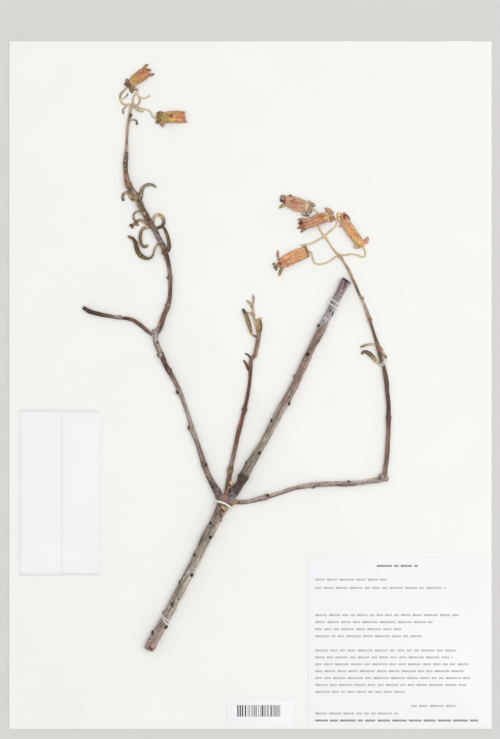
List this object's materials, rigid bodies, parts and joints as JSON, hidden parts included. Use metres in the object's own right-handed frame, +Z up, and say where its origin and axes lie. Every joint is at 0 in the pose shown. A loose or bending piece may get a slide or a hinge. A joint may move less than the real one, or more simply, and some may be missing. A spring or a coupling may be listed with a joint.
{
  "type": "pressed kalanchoe viguieri herbarium specimen",
  "caption": "Dried, pressed branch of a shrubby kalanchoe with papery tubular flowers, thread-tied to a mounting sheet with a folded packet, a label and a sticker.",
  "frame": {"origin": "middle of the mounting sheet's underside, on the table", "axes": "+X towards the sheet's right edge (the label's side), +Y towards its top edge, +Z up from the paper towards the viewer"},
  "size_m": [0.2944, 0.4194, 0.0084],
  "materials": {
    "sheet_paper": "matt off-white mounting paper, faintly mottled",
    "packet_paper": "matt white folded paper with soft creases",
    "label_paper": "matt white bond paper with plain grey ruled lines",
    "sticker_paper": "smooth white sticker with plain black bars",
    "dried_wood": "matt grey-brown wrinkled bark, reddish on the young shoots",
    "dried_calyx": "matt, papery, brown to grey-mauve",
    "dried_petal": "papery tan to orange with a reddish mouth and fine veins",
    "flower_stalk": "matt pale olive-tan",
    "dried_leaf": "matt shrivelled dark olive, tan at the edges",
    "linen_thread": "white twisted linen thread"
  },
  "bodies": {
    "root": {"mounting_sheet": "sheet_paper", "fragment_packet": "packet_paper", "collection_label": "label_paper", "bar_sticker": "sticker_paper", "woody_stem": "dried_wood", "flower_top_calyx": "dried_calyx", "flower_top_corolla": "dried_petal", "flower_upper_left_calyx": "dried_calyx", "flower_upper_left_corolla": "dried_petal", "flower_right_high_calyx": "dried_calyx", "flower_right_high_corolla": "dried_petal", "flower_right_middle_calyx": "dried_calyx", "flower_right_middle_corolla": "dried_petal", "flower_right_low_calyx": "dried_calyx", "flower_right_low_corolla": "dried_petal", "flower_right_bottom_calyx": "dried_calyx", "flower_right_bottom_corolla": "dried_petal", "left_flower_stalk": "flower_stalk", "left_flower_bract": "flower_stalk", "right_flower_stalk": "flower_stalk", "left_leaf_top_hook": "dried_leaf", "left_leaf_top_curl": "dried_leaf", "left_leaf_ring": "dried_leaf", "left_leaf_fork": "dried_leaf", "left_leaf_long_loop": "dried_leaf", "left_leaf_blade": "dried_leaf", "left_leaf_loop": "dried_leaf", "left_leaf_side_strip": "dried_leaf", "centre_leaf_left": "dried_leaf", "centre_leaf_inner": "dried_leaf", "centre_leaf_broad": "dried_leaf", "centre_leaf_tip": "dried_leaf", "right_leaf_upper": "dried_leaf", "right_leaf_curl": "dried_leaf", "right_leaf_hook": "dried_leaf", "tie_base_upper": "linen_thread", "tie_base_lower": "linen_thread", "tie_fork": "linen_thread", "tie_stem_upper": "linen_thread", "tie_stem_lower": "linen_thread", "tie_shoot_upper": "linen_thread", "tie_shoot_lower": "linen_thread"}
  },
  "joints": []
}
